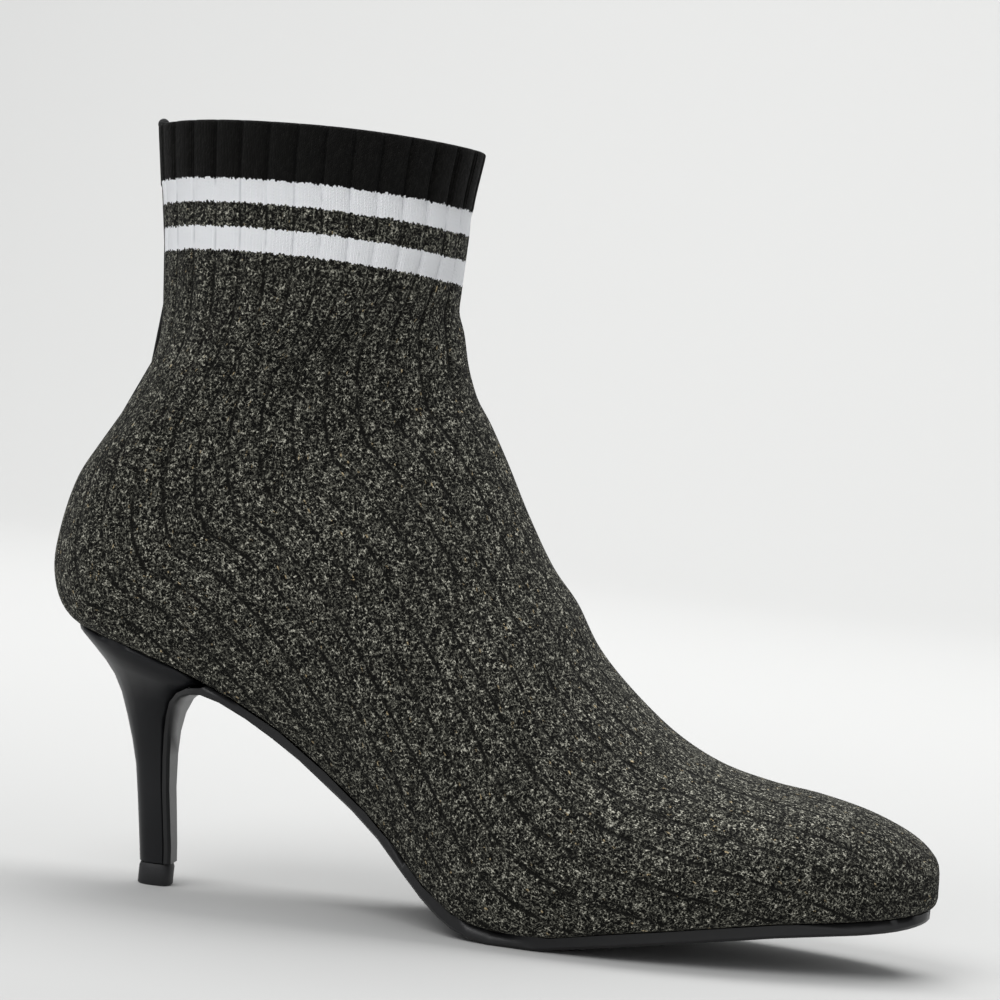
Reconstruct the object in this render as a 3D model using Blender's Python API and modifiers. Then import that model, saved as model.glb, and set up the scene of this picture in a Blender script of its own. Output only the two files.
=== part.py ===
"""Right sweater boot: a knitted sock boot on a slim heel, in metres, +Z up, toe towards +X.

The upper is one knitted tube with a real wall. Its sections fan round the instep, from upright at
the toe to level at the collar. Sole, heel and insole are fitted to the same sections.
"""

import math

import bmesh
import bpy
import numpy as np
from mathutils import Vector

NAME = "sweater_boot"

# Driving sizes of the last and the leg
LENGTH = 0.240  # back of the heel to the toe
HEEL_HEIGHT = 0.066  # floor to the back of the seat
SHAFT_HEIGHT = 0.1325  # seat to the collar at the back
TOE_SPRING = 0.0124  # rise of the sole under the toes
BALL_WIDTH = 0.078
HEEL_WIDTH = 0.058
COLLAR_WIDTH = 0.064
INSTEP_HEIGHT = 0.0765  # sole to instep, along the section through the waist
HEEL_TO_INSTEP = 0.123  # back of the heel to the instep, along its section
COLLAR_LENGTH = 0.085  # front to back

# Walls, plates and clearances
WALL = 0.0018
GAP = 0.0003
SOLE_THICKNESS = 0.0022
WAIST_THICKNESS = 0.0015
FLAP_THICKNESS = 0.0018
INSOLE_THICKNESS = 0.0015
SOLE_CHAMFER = 0.0008
SOLE_SHARE = 0.94  # sole outline within the feather edge of the upper
SOLE_SHORT = 0.0016  # how far the toe overhangs the sole
FLAT_END = 0.585  # share of LENGTH where the flat spot ends and the toe spring starts
INSOLE_FRONT = 0.955  # share of LENGTH
INSOLE_BACK = 0.028
CUFF_STEP = 0.0003
CUFF_RIB = 0.0009  # depth of a channel between two ribs of the cuff
LEG_RIB = 0.0003
COLLAR_RISE = 0.0020  # the sides of the leg stand higher than its front and back
TAPE_WIDTH = 0.0050
TAPE_THICKNESS = 0.0006
TAPE_NUB = 0.0010  # the back tape stands this far above the collar
TIP_HEIGHT = 0.0057
TIP_INSET = 0.0003

# Mesh density
RIBS = 13  # ribs on each side of the cuff
UPPER_STEPS = 36
FILL = 3  # columns that close the body under the lasting margin

# The low line of the sole, as shares: along of LENGTH, heel of HEEL_HEIGHT, spring of TOE_SPRING.
FLOOR_LINE = (
    # along, heel, spring
    (0.035, 0.977, 0.0),
    (0.054, 0.960, 0.0),
    (0.074, 0.944, 0.0),
    (0.108, 0.911, 0.0),
    (0.139, 0.875, 0.0),
    (0.169, 0.838, 0.0),
    (0.192, 0.810, 0.0),
    (0.213, 0.782, 0.0),
    (0.243, 0.730, 0.0),
    (0.274, 0.665, 0.0),
    (0.305, 0.594, 0.0),
    (0.337, 0.508, 0.0),
    (0.369, 0.423, 0.0),
    (0.401, 0.328, 0.0),
    (0.433, 0.212, 0.0),
    (0.456, 0.134, 0.0),
    (0.477, 0.074, 0.0),
    (0.493, 0.040, 0.0),
    (0.512, 0.015, 0.0),
    (0.535, 0.0, 0.0),
    (FLAT_END, 0.0, 0.0),
    (0.625, 0.0, 0.130),
    (0.667, 0.0, 0.262),
    (0.750, 0.0, 0.508),
    (0.833, 0.0, 0.742),
    (0.917, 0.0, 0.903),
    (0.954, 0.0, 1.0),
    (0.979, 0.0, 1.120),
    (0.987, 0.0, 1.180),
    (0.996, 0.0, 1.290),
    (1.0, 0.0, 1.500),
)

# What each stretch of the boot takes its lengths from: reach and width.
STRETCHES = {
    "foot": (INSTEP_HEIGHT, BALL_WIDTH),
    "heel": (HEEL_TO_INSTEP, HEEL_WIDTH),
    "leg": (COLLAR_LENGTH, COLLAR_WIDTH),
}

# One row for each section, from the toe to the collar. along is the share of LENGTH at which it
# leaves the low line, up the share of SHAFT_HEIGHT above the seat, angle its tilt in degrees.
# reach and half are shares of the stretch's sizes, middle and lean of BALL_WIDTH. foot is the
# feather edge's share of half, corner, widest and open are shares of reach, reach and foot, and
# ridge is how square the top is.
COLUMNS = (
    "along", "up", "angle", "stretch", "reach", "half", "middle", "lean",
    "foot", "corner", "widest", "ridge", "open",
)
SECTIONS = (
    (1.0000, 0.0, 90.0, "foot", 0.000, 0.000, 0.064, 0.000, 0.88, 0.300, 0.42, 2.20, 0.00),
    (0.9967, 0.0, 89.0, "foot", 0.134, 0.074, 0.065, 0.000, 0.88, 0.300, 0.42, 2.20, 0.00),
    (0.9858, 0.0, 88.5, "foot", 0.206, 0.136, 0.066, 0.000, 0.90, 0.200, 0.40, 2.20, 0.00),
    (0.9667, 0.0, 87.0, "foot", 0.266, 0.192, 0.067, 0.000, 0.92, 0.140, 0.38, 2.20, 0.00),
    (0.9375, 0.0, 85.0, "foot", 0.321, 0.250, 0.064, 0.004, 0.93, 0.110, 0.37, 2.20, 0.45),
    (0.8917, 0.0, 81.5, "foot", 0.379, 0.318, 0.056, 0.013, 0.94, 0.090, 0.36, 2.15, 0.64),
    (0.8250, 0.0, 75.7, "foot", 0.442, 0.392, 0.041, 0.026, 0.945, 0.075, 0.35, 2.10, 0.72),
    (0.7500, 0.0, 69.2, "foot", 0.518, 0.449, 0.023, 0.038, 0.945, 0.064, 0.34, 2.05, 0.75),
    (0.6667, 0.0, 64.9, "foot", 0.628, 0.490, 0.008, 0.049, 0.94, 0.052, 0.33, 2.00, 0.76),
    (0.5833, 0.0, 62.8, "foot", 0.785, 0.500, 0.000, 0.051, 0.93, 0.042, 0.32, 1.95, 0.76),
    (0.5083, 0.0, 62.5, "foot", 0.922, 0.479, -0.008, 0.046, 0.89, 0.036, 0.32, 1.90, 0.74),
    (0.4563, 0.0, 61.2, "foot", 0.973, 0.449, -0.010, 0.038, 0.80, 0.034, 0.33, 1.85, 0.68),
    (0.4083, 0.0, 57.9, "foot", 1.000, 0.428, -0.008, 0.031, 0.70, 0.033, 0.34, 1.85, 0.60),
    (0.3500, 0.0, 52.7, "heel", 0.635, 0.545, -0.003, 0.023, 0.66, 0.032, 0.33, 1.85, 0.56),
    (0.2750, 0.0, 47.1, "heel", 0.689, 0.524, 0.003, 0.015, 0.70, 0.031, 0.31, 1.90, 0.56),
    (0.1917, 0.0, 43.0, "heel", 0.784, 0.514, 0.001, 0.009, 0.77, 0.030, 0.29, 1.90, 0.58),
    (0.1125, 0.0, 39.4, "heel", 0.884, 0.507, 0.000, 0.004, 0.80, 0.032, 0.28, 1.95, 0.56),
    (0.0583, 0.0, 37.3, "heel", 0.954, 0.503, 0.000, 0.000, 0.79, 0.060, 0.28, 1.95, 0.40),
    (0.0246, 0.0234, 35.8, "heel", 0.995, 0.501, 0.000, 0.000, 0.80, 0.110, 0.29, 1.95, 0.00),
    (0.0069, 0.0792, 34.3, "heel", 1.001, 0.500, 0.000, 0.000, 0.84, 0.160, 0.30, 1.95, 0.00),
    (0.0035, 0.1585, 33.3, "heel", 0.980, 0.500, 0.000, 0.000, 0.89, 0.210, 0.32, 1.95, 0.00),
    (0.0192, 0.2928, 29.5, "heel", 0.888, 0.507, 0.000, 0.000, 0.94, 0.290, 0.37, 2.00, 0.00),
    (0.0576, 0.4174, 26.5, "leg", 1.127, 0.469, 0.000, 0.000, 0.98, 0.370, 0.42, 2.00, 0.00),
    (0.0920, 0.5660, 21.3, "leg", 0.980, 0.478, 0.000, 0.000, 1.00, 0.440, 0.46, 2.00, 0.00),
    (0.0903, 0.7321, 11.4, "leg", 0.939, 0.484, 0.000, 0.000, 1.00, 0.480, 0.49, 2.00, 0.00),
    (0.0788, 0.8880, 2.5, "leg", 0.954, 0.491, 0.000, 0.000, 1.00, 0.500, 0.50, 2.00, 0.00),
    (0.0696, 1.0000, 1.4, "leg", 1.000, 0.500, 0.000, 0.000, 1.00, 0.500, 0.50, 2.00, 0.00),
)
SEAT_ROW = 17  # last section that stands on the heel seat
CUFF_ROW = 25  # lower edge of the black band
EDGE = 2.4  # how square the feather edge is
FLARE = 1.3  # how soon the side swells out above the feather edge

# The breast of the heel, where the sole turns down: a point of its outer face, as shares of LENGTH
# and HEEL_HEIGHT, the direction into the heel in degrees, and the half width as a share of
# HEEL_WIDTH.
BREAST = (
    # along, up, turn, half
    (0.1920, 0.803, 97.0, 0.365),
    (0.1785, 0.796, 115.0, 0.330),
    (0.1668, 0.774, 135.0, 0.270),
    (0.1588, 0.738, 155.0, 0.210),
    (0.1545, 0.684, 170.0, 0.157),
    (0.1526, 0.610, 178.0, 0.122),
    (0.1529, 0.520, 181.0, 0.103),
    (0.1555, 0.389, 183.0, 0.091),
    (0.1603, 0.260, 184.0, 0.085),
    (0.1636, 0.160, 184.0, 0.081),
)
BREAST_FOOT = 0.1651  # share of LENGTH where the flap ends, above the top piece

# The heel, a row for each cut: its back and front points as shares of LENGTH and HEEL_HEIGHT, and
# its half width as a share of HEEL_WIDTH. The upper rows reach into the seat and are cut by it.
STEM = (
    # back, back_up, front, front_up, half
    (0.1228, 0.218, 0.1624, 0.212, 0.085),
    (0.1177, 0.348, 0.1571, 0.348, 0.090),
    (0.1123, 0.473, 0.1534, 0.477, 0.099),
    (0.1055, 0.570, 0.1526, 0.583, 0.114),
    (0.0975, 0.664, 0.1541, 0.674, 0.141),
    (0.0892, 0.755, 0.1584, 0.735, 0.186),
    (0.0796, 0.827, 0.1678, 0.773, 0.243),
    (0.0664, 0.892, 0.1828, 0.797, 0.306),
    (0.0522, 0.947, 0.1965, 0.815, 0.356),
    (0.0380, 0.996, 0.2040, 0.848, 0.382),
    (0.0330, 1.060, 0.2060, 0.917, 0.390),
    (0.0420, 1.150, 0.2040, 1.030, 0.375),
)
STEM_FOOT = (0.1276, 0.1651, 0.081)  # back and front of LENGTH, half of HEEL_WIDTH, at the tip


def between(knots, values, at):
    """Monotone cubic curve through the values, level wherever two neighbours are level."""
    knots = np.asarray(knots, float)
    values = np.asarray(values, float)
    step = np.diff(knots)
    slope = np.diff(values) / step
    tangent = np.zeros(len(knots))
    tangent[0] = slope[0]
    tangent[-1] = slope[-1]
    for i in range(1, len(knots) - 1):
        if slope[i - 1] * slope[i] > 0:
            before = 2 * step[i] + step[i - 1]
            after = step[i] + 2 * step[i - 1]
            tangent[i] = (before + after) / (before / slope[i - 1] + after / slope[i])
    i = int(np.clip(np.searchsorted(knots, at, side="right") - 1, 0, len(step) - 1))
    s = (at - knots[i]) / step[i]
    return float(
        values[i] * (1 + 2 * s) * (1 - s) ** 2
        + values[i + 1] * s * s * (3 - 2 * s)
        + tangent[i] * step[i] * s * (1 - s) ** 2
        - tangent[i + 1] * step[i] * s * s * (1 - s)
    )


def soft_step(low, high, value):
    share = min(1.0, max(0.0, (value - low) / (high - low)))
    return share * share * (3 - 2 * share)


def place(along):
    """World X of a distance from the back of the heel."""
    return along - LENGTH / 2


def sole_bottom(x):
    """Height of the sole's lower face at a distance from the back of the heel."""
    shares = [row[0] for row in FLOOR_LINE]
    heights = [row[1] * HEEL_HEIGHT + row[2] * TOE_SPRING for row in FLOOR_LINE]
    return between(shares, heights, x / LENGTH)


def sole_thickness(x):
    waist_end = 0.44 * LENGTH
    tread_start = 0.50 * LENGTH
    return WAIST_THICKNESS + (SOLE_THICKNESS - WAIST_THICKNESS) * soft_step(waist_end, tread_start, x)


def upper_bottom(x):
    """Height of the upper's lower face along the middle of the foot."""
    return sole_bottom(x) + sole_thickness(x) + GAP


def section_sizes(row):
    """A row of SECTIONS in metres."""
    sizes = dict(zip(COLUMNS, row))
    reach, width = STRETCHES[sizes.pop("stretch")]
    reach *= sizes.pop("reach")
    angle = math.radians(sizes.pop("angle"))
    x = sizes.pop("along") * LENGTH
    up = sizes.pop("up")
    z = HEEL_HEIGHT + up * SHAFT_HEIGHT if up > 0 else upper_bottom(x)
    sizes["x"] = x
    sizes["z"] = z
    sizes["high_x"] = x + reach * math.cos(angle)
    sizes["high_z"] = z + reach * math.sin(angle)
    sizes["half"] *= width
    sizes["middle"] *= BALL_WIDTH
    sizes["lean"] *= BALL_WIDTH
    return sizes


ROWS = [section_sizes(row) for row in SECTIONS]
LAST_ROW = len(ROWS) - 1


def through(values, k):
    """Smooth curve through the values, read at a row number with a fraction."""
    i = min(int(k), len(values) - 2)
    s = k - i
    low = values[i]
    high = values[i + 1]
    before = values[i - 1] if i else 2 * low - high
    after = values[i + 2] if i + 2 < len(values) else 2 * high - low
    first = (high - before) / 2
    last = (after - low) / 2
    bend = 3 * (high - low) - 2 * first - last
    twist = first + last - 2 * (high - low)
    return low + s * (first + s * (bend + s * twist))


def section(k):
    """Sizes of the section at row k, which may lie between two rows."""
    size = {}
    for name in ROWS[0]:
        values = [row[name] for row in ROWS]
        if name in ("foot", "corner", "widest", "ridge", "open"):
            size[name] = between(range(len(ROWS)), values, k)
        else:
            size[name] = through(values, k)
    run = size["high_x"] - size["x"]
    rise = size["high_z"] - size["z"]
    size["reach"] = math.hypot(run, rise)
    size["angle"] = math.atan2(rise, run) if size["reach"] > 0 else math.pi / 2
    return size


def spread(size, height):
    """Half width at a share of the section's reach, as a share of its greatest half width."""
    if height < size["widest"]:
        rounding = 1 - max(0.0, 1 - height / size["corner"]) ** EDGE
        swell = math.sin(math.pi / 2 * height / size["widest"]) ** FLARE
        return size["foot"] * rounding ** (1 / EDGE) + (1 - size["foot"]) * swell
    share = (height - size["widest"]) / (1 - size["widest"])
    return max(0.0, 1 - share ** size["ridge"]) ** (1 / size["ridge"])


def contour(k, samples=72):
    """One side of section k: its sizes, distances round it, and (spread, height) in metres."""
    size = section(k)
    heights = [(1 - math.cos(math.pi * i / samples)) / 2 for i in range(samples + 1)]
    points = np.array([(spread(size, h) * size["half"], h * size["reach"]) for h in heights])
    points[-1, 0] = 0.0
    steps = np.hypot(*np.diff(points, axis=0).T)
    return size, np.concatenate([[0.0], np.cumsum(steps)]), points


def surface_point(k, side, distance, line=None):
    """Point on the outside of the upper, at a distance round one side of section k."""
    size, run, points = line or contour(k)
    out = float(np.interp(distance, run, points[:, 0]))
    up = float(np.interp(distance, run, points[:, 1]))
    angle = size["angle"]
    share = up / size["reach"] if size["reach"] > 0 else 0.0
    rise = COLLAR_RISE * soft_step(CUFF_ROW - 3, CUFF_ROW, k) * (out / max(size["half"], GAP)) ** 2
    return Vector((
        place(size["x"] + up * math.cos(angle)),
        size["middle"] + size["lean"] * share ** 2 + side * out,
        size["z"] + up * math.sin(angle) + rise,
    ))


def rib_depth(k, column, half):
    """How deep the channel at this column lies. Channels are the even columns."""
    if column % 2 or column < 2:
        return 0.0
    cuff = soft_step(CUFF_ROW - 3, CUFF_ROW - 1, k)
    foot = soft_step(4, 8, column) * soft_step(0.2 * HEEL_WIDTH, 0.4 * HEEL_WIDTH, half)
    return CUFF_RIB * cuff + LEG_RIB * (1 - cuff) * foot


def skin_ring(k, fill):
    """Points round section k of the outside, from one edge of the opening round to the other.

    With fill, the ring goes on across the opening and is whole.
    """
    line = contour(k)
    size, run, points = line
    edge = size["open"] * size["foot"] * size["half"]
    low = points[:, 1] <= size["corner"] * size["reach"]
    start = float(np.interp(edge, points[low, 0], run[low])) if edge > GAP else 0.0
    columns = 2 * RIBS
    step = CUFF_STEP if k >= CUFF_ROW else 0.0
    sides = []
    for side in (1, -1):
        ring = []
        for i in range(FILL if fill else 0):
            ring.append(surface_point(k, side, start * i / FILL, line))
        for j in range(columns + 1):
            distance = start + (run[-1] - start) * j / columns
            point = surface_point(k, side, distance, line)
            push = step - rib_depth(k, j, size["half"])
            if push:
                reach = 2 * GAP
                ahead = surface_point(k, side, min(distance + reach, run[-1]), line)
                behind = surface_point(k, side, max(distance - reach, 0.0), line)
                along = (ahead - behind).normalized()
                angle = size["angle"]
                across = Vector((-math.sin(angle), 0.0, math.cos(angle)))
                outward = along.cross(across) * side
                if j in (0, columns):
                    outward.y = 0.0
                point = point + outward.normalized() * push
            ring.append(point)
        sides.append(ring)
    return sides[0] + sides[1][-2::-1]


def stations():
    """Row values at which the upper has a ring, with two of them at the step of the cuff."""
    count = UPPER_STEPS - 2
    values = [CUFF_ROW * i / count for i in range(count + 1)]
    values[-1] = CUFF_ROW - 0.03
    return values + [CUFF_ROW, CUFF_ROW + 0.5, LAST_ROW]


def loft(name, rings, cap_first, cap_last, closed):
    """Mesh object through rings of as many points each, and doubles merged."""
    bm = bmesh.new()
    rows = [[bm.verts.new(point) for point in ring] for ring in rings]
    count = len(rings[0])
    for first, second in zip(rows, rows[1:]):
        for i in range(count if closed else count - 1):
            j = (i + 1) % count
            bm.faces.new((first[i], first[j], second[j], second[i]))
    if cap_first:
        bm.faces.new(rows[0][::-1])
    if cap_last:
        bm.faces.new(rows[-1])
    bmesh.ops.remove_doubles(bm, verts=bm.verts, dist=1e-6)
    bmesh.ops.dissolve_degenerate(bm, edges=bm.edges, dist=1e-6)
    bmesh.ops.recalc_face_normals(bm, faces=bm.faces)
    mesh = bpy.data.meshes.new(name)
    bm.to_mesh(mesh)
    bm.free()
    return bpy.data.objects.new(name, mesh)


def body(name, offset):
    """The closed outer form of the upper, swollen by offset. It is a cutter."""
    rings = [skin_ring(k, True)[:-1] for k in stations()]
    obj = loft(name, rings, False, True, True)
    bm = bmesh.new()
    bm.from_mesh(obj.data)
    bm.normal_update()
    moves = [vert.normal * offset * vert.calc_shell_factor() for vert in bm.verts]
    for vert, move in zip(bm.verts, moves):
        vert.co += move
    bm.to_mesh(obj.data)
    bm.free()
    return obj


def add(collection, obj):
    collection.objects.link(obj)
    return obj


def as_cutter(obj):
    obj.hide_render = True
    obj.display_type = "WIRE"
    return obj


def boolean(obj, cutter, operation):
    modifier = obj.modifiers.new(f"{operation.lower()} {cutter.name}", "BOOLEAN")
    modifier.operation = operation
    modifier.object = cutter
    modifier.solver = "EXACT"


def finish(obj, colour, roughness, coat=0.0, coat_roughness=0.2):
    """Shade smooth and give the piece its own material."""
    obj.data.shade_smooth()
    obj.data.set_sharp_from_angle(angle=math.radians(40))
    material = bpy.data.materials.new(obj.name)
    material.use_nodes = True
    shader = material.node_tree.nodes["Principled BSDF"]
    shader.inputs["Base Color"].default_value = (*colour, 1.0)
    shader.inputs["Roughness"].default_value = roughness
    shader.inputs["Metallic"].default_value = 0.0
    shader.inputs["Coat Weight"].default_value = coat
    shader.inputs["Coat Roughness"].default_value = coat_roughness
    material.diffuse_color = (*colour, 1.0)
    obj.data.materials.append(material)


def make_upper(parts):
    rings = [skin_ring(k, False) for k in stations()]
    obj = add(parts, loft("upper", rings, False, False, False))
    wall = obj.modifiers.new("wall", "SOLIDIFY")
    wall.thickness = WALL
    wall.offset = -1.0
    wall.use_even_offset = True
    wall.use_quality_normals = True
    finish(obj, (0.035, 0.034, 0.030), 0.9)
    return obj


def rung(outer, inner, half, middle):
    """Ring of the sole at one place: its lower face, chamfered edges and upper face."""
    up = (inner - outer).normalized()
    low = outer + up * min(SOLE_CHAMFER, 0.5 * (inner - outer).length)
    narrow = max(half - SOLE_CHAMFER, 0.6 * half)
    return [
        Vector((point.x, middle + y, point.z))
        for point, y in (
            (outer, -narrow), (outer, narrow), (low, half), (inner, half), (inner, -half), (low, -half),
        )
    ]


def sole_rungs():
    """Rungs from the toe, along the waist and down the breast of the heel."""
    bite = 2.5 * SOLE_THICKNESS
    space = 0.01 * LENGTH
    order = range(len(ROWS))
    feet = [row["foot"] * row["half"] * SOLE_SHARE for row in ROWS]
    middles = [row["middle"] for row in ROWS]
    xs = [row["x"] for row in ROWS]
    toe_start = FLAT_END * LENGTH
    shrink = SOLE_SHORT / (LENGTH - toe_start)
    rings = []
    for k in (0.0, 0.25, 0.5, 0.75, 1.0, 1.5, 2.0, 2.5, 3.0, 3.5, 4.0):
        x = between(order, xs, k)
        x -= (x - toe_start) * shrink
        rings.append((x, between(order, feet, k), between(order, middles, k)))
    last_toe = rings[-1][0]
    breast_top = BREAST[0][0] * LENGTH
    backwards = xs[SEAT_ROW::-1]
    for share, _, _ in FLOOR_LINE[::-1]:
        x = share * LENGTH
        if breast_top + space < x < last_toe - space:
            wide = x + max(0.0, x - toe_start) * shrink
            half = between(backwards, feet[SEAT_ROW::-1], wide)
            rings.append((x, half, between(backwards, middles[SEAT_ROW::-1], wide)))
    rungs = []
    for x, half, middle in rings:
        outer = Vector((place(x), 0.0, sole_bottom(x)))
        rungs.append(rung(outer, outer + Vector((0.0, 0.0, bite)), half, middle))
    for outer, inner, half in breast_points():
        rungs.append(rung(outer, inner, half, 0.0))
    return rungs


def breast_points(extra=0.0):
    """Outer and inner points of the flap down the breast, and its half width."""
    found = []
    for along, up, turn, half in BREAST:
        outer = Vector((place(along * LENGTH), 0.0, up * HEEL_HEIGHT))
        angle = math.radians(turn)
        into = Vector((math.cos(angle), 0.0, math.sin(angle)))
        found.append((outer, outer + into * (FLAP_THICKNESS + extra), half * HEEL_WIDTH))
    foot = Vector((place(BREAST_FOOT * LENGTH), 0.0, TIP_HEIGHT + GAP))
    inner = foot - Vector((FLAP_THICKNESS + extra, 0.0, 0.0))
    found.append((foot, inner, STEM_FOOT[2] * HEEL_WIDTH))
    return found


def make_outsole(parts, body_cutter):
    obj = add(parts, loft("outsole", sole_rungs(), False, True, True))
    boolean(obj, body_cutter, "DIFFERENCE")
    finish(obj, (0.012, 0.012, 0.013), 0.45)
    return obj


def heel_ring(back, front, half, count=20):
    """Closed D between a back and a front point: round behind, flatter at the breast."""
    centre = (back + front) / 2
    reach = (front - back) / 2
    ring = []
    for i in range(count):
        turn = 2 * math.pi * i / count
        power = 2 / (3.2 if math.cos(turn) > 0 else 2.3)
        along = math.copysign(abs(math.cos(turn)) ** power, math.cos(turn))
        across = math.copysign(abs(math.sin(turn)) ** power, math.sin(turn))
        ring.append(centre + reach * along + Vector((0.0, half * across, 0.0)))
    return ring


def heel_rings(foot_height):
    back, front, half = STEM_FOOT
    foot_back = Vector((place(back * LENGTH), 0.0, foot_height))
    foot_front = Vector((place(front * LENGTH), 0.0, foot_height))
    rings = [heel_ring(foot_back, foot_front, half * HEEL_WIDTH)]
    for back, back_up, front, front_up, half in STEM:
        back_point = Vector((place(back * LENGTH), 0.0, back_up * HEEL_HEIGHT))
        front_point = Vector((place(front * LENGTH), 0.0, front_up * HEEL_HEIGHT))
        rings.append(heel_ring(back_point, front_point, half * HEEL_WIDTH))
    return rings


def make_breast_cutter(cutters):
    """Everything in front of the heel's breast."""
    line = [inner for _, inner, _ in breast_points(GAP)]
    foot = Vector((line[-1].x, 0.0, -TIP_HEIGHT))
    far = Vector((place(LENGTH / 2), 0.0, 0.0))
    top = Vector((line[0].x, 0.0, 1.5 * HEEL_HEIGHT))
    outline = [top] + line + [foot, Vector((far.x, 0.0, foot.z)), Vector((far.x, 0.0, top.z))]
    rings = [[point + Vector((0.0, y, 0.0)) for point in outline] for y in (-HEEL_WIDTH, HEEL_WIDTH)]
    return add(cutters, as_cutter(loft("breast_cutter", rings, True, True, True)))


def make_heel(parts, body_cutter, breast_cutter):
    obj = add(parts, loft("heel", heel_rings(TIP_HEIGHT + GAP), True, True, True))
    boolean(obj, body_cutter, "DIFFERENCE")
    boolean(obj, breast_cutter, "DIFFERENCE")
    finish(obj, (0.010, 0.010, 0.011), 0.25, 0.5)
    return obj


def make_top_piece(parts):
    """Rubber tip under the stem, a little smaller than it at its neck."""
    back, front, half = STEM_FOOT
    rings = []
    for height, inset in ((0.0, TIP_INSET), (TIP_INSET, 0.0), (0.85 * TIP_HEIGHT, 0.0), (TIP_HEIGHT, TIP_INSET)):
        back_point = Vector((place(back * LENGTH) + inset, 0.0, height))
        front_point = Vector((place(front * LENGTH) - inset, 0.0, height))
        rings.append(heel_ring(back_point, front_point, half * HEEL_WIDTH - inset))
    obj = add(parts, loft("top_piece", rings, True, True, True))
    finish(obj, (0.015, 0.015, 0.016), 0.6)
    return obj


def make_insole(parts, cutters):
    inside = add(cutters, as_cutter(body("inside_form", -(WALL + GAP))))
    low = INSOLE_BACK * LENGTH
    high = INSOLE_FRONT * LENGTH
    steps = 34
    rings = []
    for i in range(steps + 1):
        x = low + (high - low) * i / steps
        top = upper_bottom(x) + WALL + GAP + INSOLE_THICKNESS
        bottom = upper_bottom(x) - WALL
        ends = ((-BALL_WIDTH, bottom), (BALL_WIDTH, bottom), (BALL_WIDTH, top), (-BALL_WIDTH, top))
        rings.append([Vector((place(x), y, z)) for y, z in ends])
    obj = add(parts, loft("insole", rings, True, True, True))
    boolean(obj, inside, "INTERSECT")
    finish(obj, (0.055, 0.050, 0.045), 0.8)
    return obj


def tape_point(k, distance, out):
    """Point over the back seam, a signed distance round from it and out from the upper."""
    side = 1 if distance >= 0 else -1
    tiny = 0.02
    here = surface_point(k, side, abs(distance))
    ahead = surface_point(min(k + tiny, LAST_ROW), side, abs(distance))
    behind = surface_point(k - tiny, side, abs(distance))
    right = surface_point(k, side, abs(distance) + GAP)
    left = surface_point(k, side, max(abs(distance) - GAP, 0.0))
    normal = (ahead - behind).cross((right - left) * side).normalized()
    if distance == 0:
        normal = Vector((normal.x, 0.0, normal.z)).normalized()
    return here + normal * out


def make_back_tape(parts):
    """Strip over the back seam, from the seat to a nub above the collar."""
    start = SEAT_ROW + 1.2
    shares = (-1.0, -0.5, 0.0, 0.5, 1.0)
    rings = []
    for k in [start] + [k for k in stations() if k > start]:
        lift = GAP + (CUFF_STEP if k >= CUFF_ROW else 0.0)
        inner = [tape_point(k, share * TAPE_WIDTH / 2, lift) for share in shares]
        outer = [tape_point(k, share * TAPE_WIDTH / 2, lift + TAPE_THICKNESS) for share in shares]
        rings.append(inner + outer[::-1])
    rings.append([point + Vector((0.0, 0.0, TAPE_NUB)) for point in rings[-1]])
    obj = add(parts, loft("back_tape", rings, True, True, True))
    finish(obj, (0.012, 0.012, 0.012), 0.7)
    return obj


def collection_named(name):
    collection = bpy.data.collections.new(name)
    bpy.context.scene.collection.children.link(collection)
    return collection


def main():
    for obj in list(bpy.data.objects):
        bpy.data.objects.remove(obj, do_unlink=True)
    parts = collection_named(NAME)
    cutters = collection_named("cutters")
    make_upper(parts)
    body_cutter = add(cutters, as_cutter(body("body_form", GAP)))
    breast_cutter = make_breast_cutter(cutters)
    make_outsole(parts, body_cutter)
    make_heel(parts, body_cutter, breast_cutter)
    make_top_piece(parts)
    make_insole(parts, cutters)
    make_back_tape(parts)


main()
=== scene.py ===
"""Looks of the sweater boot: the knitted upper, the black sole and heel, the floor and the camera.

Positions are in metres in the boot's own frame, toe towards +X and outer side towards -Y. The knit
follows the same sections as the solid upper. Rib lines, stitches and bands are drawn in the knit's
own coordinates, kept in two UV maps: stitches (wale, course) and bands (drop from the collar, foot).
"""

import math

import bmesh
import bpy
import numpy as np
from bpy.props import FloatProperty, FloatVectorProperty, IntProperty, PointerProperty
from mathutils import Matrix, Vector


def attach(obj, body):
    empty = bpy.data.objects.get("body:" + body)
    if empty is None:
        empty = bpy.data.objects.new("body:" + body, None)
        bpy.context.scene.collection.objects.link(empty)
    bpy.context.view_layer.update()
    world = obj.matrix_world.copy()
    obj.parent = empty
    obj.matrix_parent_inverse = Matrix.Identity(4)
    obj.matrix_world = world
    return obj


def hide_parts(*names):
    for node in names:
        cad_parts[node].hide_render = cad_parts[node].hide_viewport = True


bl_info = {
    "name": "Sweater Boot Looks",
    "version": (1, 0, 0),
    "blender": (4, 5, 0),
    "location": "View3D > Sidebar > Boot",
    "description": "Knit, sole, heel and studio of a sweater boot",
    "category": "Object",
}

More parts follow.
